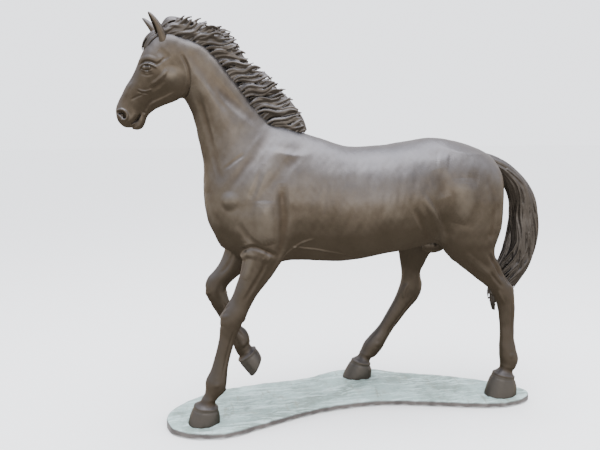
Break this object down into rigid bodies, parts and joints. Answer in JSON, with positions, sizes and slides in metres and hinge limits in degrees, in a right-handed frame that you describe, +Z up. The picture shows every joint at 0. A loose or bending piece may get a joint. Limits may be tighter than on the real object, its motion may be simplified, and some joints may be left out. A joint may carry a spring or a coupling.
{
  "type": "bronze horse statue",
  "caption": "Life-size cast bronze horse, walking with one foreleg lifted, hollow in welded sections on a steel armature and a low kidney-shaped ground plate.",
  "frame": {"origin": "middle of the frame hub's lower face, on the ground plate's underside", "axes": "+X from the head to the tail, +Z up, Y = 0 the plane through the spine, the horse's left side at -Y"},
  "size_m": [2.5059, 0.6819, 2.252],
  "materials": {
    "skin_bronze": "dark brown patina, waxed",
    "hair_bronze": "dark brown patina, chased",
    "plate_bronze": "pale verdigris patina",
    "steel": "stainless, as welded"
  },
  "bodies": {
    "root": {"head": "skin_bronze", "neck": "skin_bronze", "chest": "skin_bronze", "barrel": "skin_bronze", "hindquarters": "skin_bronze", "left_fore_upper": "skin_bronze", "left_fore_lower": "skin_bronze", "right_fore_upper": "skin_bronze", "right_fore_lower": "skin_bronze", "left_hind_upper": "skin_bronze", "left_hind_lower": "skin_bronze", "right_hind_upper": "skin_bronze", "right_hind_lower": "skin_bronze", "sheath": "skin_bronze", "left_ear": "skin_bronze", "right_ear": "skin_bronze", "forelock": "hair_bronze", "mane_upper": "hair_bronze", "mane_middle": "hair_bronze", "mane_lower": "hair_bronze", "tail_upper": "hair_bronze", "tail_lower": "hair_bronze", "ground_plate_front": "plate_bronze", "ground_plate_rear": "plate_bronze", "spine_tube": "steel", "neck_tube": "steel", "fore_cross_tube": "steel", "hind_cross_tube": "steel", "left_fore_rod": "steel", "left_fore_washer": "steel", "left_fore_nut": "steel", "left_hind_rod": "steel", "left_hind_washer": "steel", "left_hind_nut": "steel", "right_hind_rod": "steel", "right_hind_washer": "steel", "right_hind_nut": "steel", "frame_hub": "steel", "left_fore_bar": "steel", "left_fore_pad": "steel", "left_fore_socket": "steel", "left_hind_bar": "steel", "left_hind_pad": "steel", "left_hind_socket": "steel", "right_hind_bar": "steel", "right_hind_pad": "steel", "right_hind_socket": "steel"}
  },
  "joints": []
}
